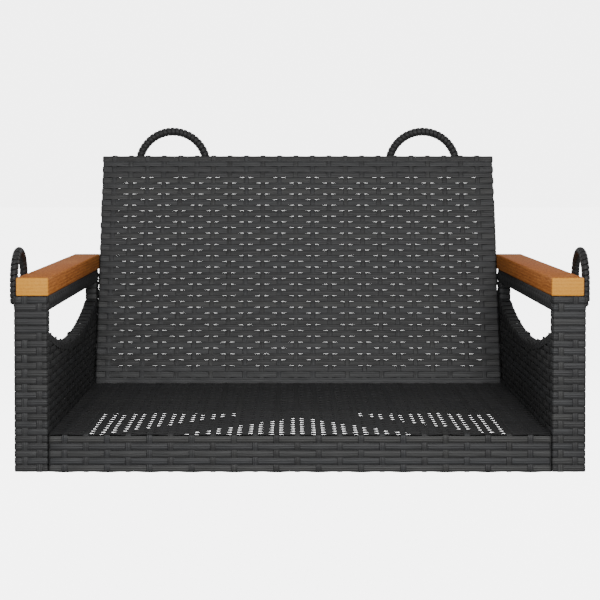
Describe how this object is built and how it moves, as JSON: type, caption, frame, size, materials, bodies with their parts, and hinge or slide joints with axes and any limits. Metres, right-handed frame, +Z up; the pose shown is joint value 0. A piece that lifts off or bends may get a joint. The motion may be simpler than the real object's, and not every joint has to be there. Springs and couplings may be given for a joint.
{
  "type": "porch swing",
  "caption": "Hanging bench with a woven seat and leaning woven backrest, open woven sides under flat wooden armrests, and hanging rings at its corners.",
  "frame": {"origin": "middle of the footprint at the underside of the sides", "axes": "+X along the seat's width, +Y from the front to the backrest, +Z up"},
  "size_m": [0.746, 0.62, 0.4515],
  "materials": {
    "rattan": "flat woven synthetic rattan strip, anthracite black, satin",
    "frame": "black powder coat, satin",
    "wood": "oiled acacia, honey brown",
    "fasteners": "zinc plated"
  },
  "bodies": {
    "root": {"back_bottom_cover": "rattan", "back_bottom_rail": "frame", "back_left_cover": "rattan", "back_left_stile": "frame", "back_right_cover": "rattan", "back_right_stile": "frame", "back_top_cover": "rattan", "back_top_rail": "frame", "back_weave": "rattan", "left_arch_rod": "frame", "left_arm_rail": "frame", "left_arm_rail_cover": "rattan", "left_arm_screw_front": "fasteners", "left_arm_screw_rear": "fasteners", "left_armrest": "wood", "left_back_bolt": "fasteners", "left_back_ring": "frame", "left_back_ring_cover": "rattan", "left_base_rail": "frame", "left_front_post": "frame", "left_front_post_cover": "rattan", "left_rear_post": "frame", "left_rear_post_cover": "rattan", "left_seat_bolt_front": "fasteners", "left_seat_bolt_rear": "fasteners", "left_side_panel": "rattan", "left_side_ring": "frame", "left_side_ring_cover": "rattan", "right_arch_rod": "frame", "right_arm_rail": "frame", "right_arm_rail_cover": "rattan", "right_arm_screw_front": "fasteners", "right_arm_screw_rear": "fasteners", "right_armrest": "wood", "right_back_bolt": "fasteners", "right_back_ring": "frame", "right_back_ring_cover": "rattan", "right_base_rail": "frame", "right_front_post": "frame", "right_front_post_cover": "rattan", "right_rear_post": "frame", "right_rear_post_cover": "rattan", "right_seat_bolt_front": "fasteners", "right_seat_bolt_rear": "fasteners", "right_side_panel": "rattan", "right_side_ring": "frame", "right_side_ring_cover": "rattan", "seat_brace_front": "frame", "seat_brace_long": "frame", "seat_brace_rear": "frame", "seat_front_cover": "rattan", "seat_front_rail": "frame", "seat_left_cover": "rattan", "seat_left_rail": "frame", "seat_rear_cover": "rattan", "seat_rear_rail": "frame", "seat_right_cover": "rattan", "seat_right_rail": "frame", "seat_weave": "rattan"}
  },
  "joints": []
}
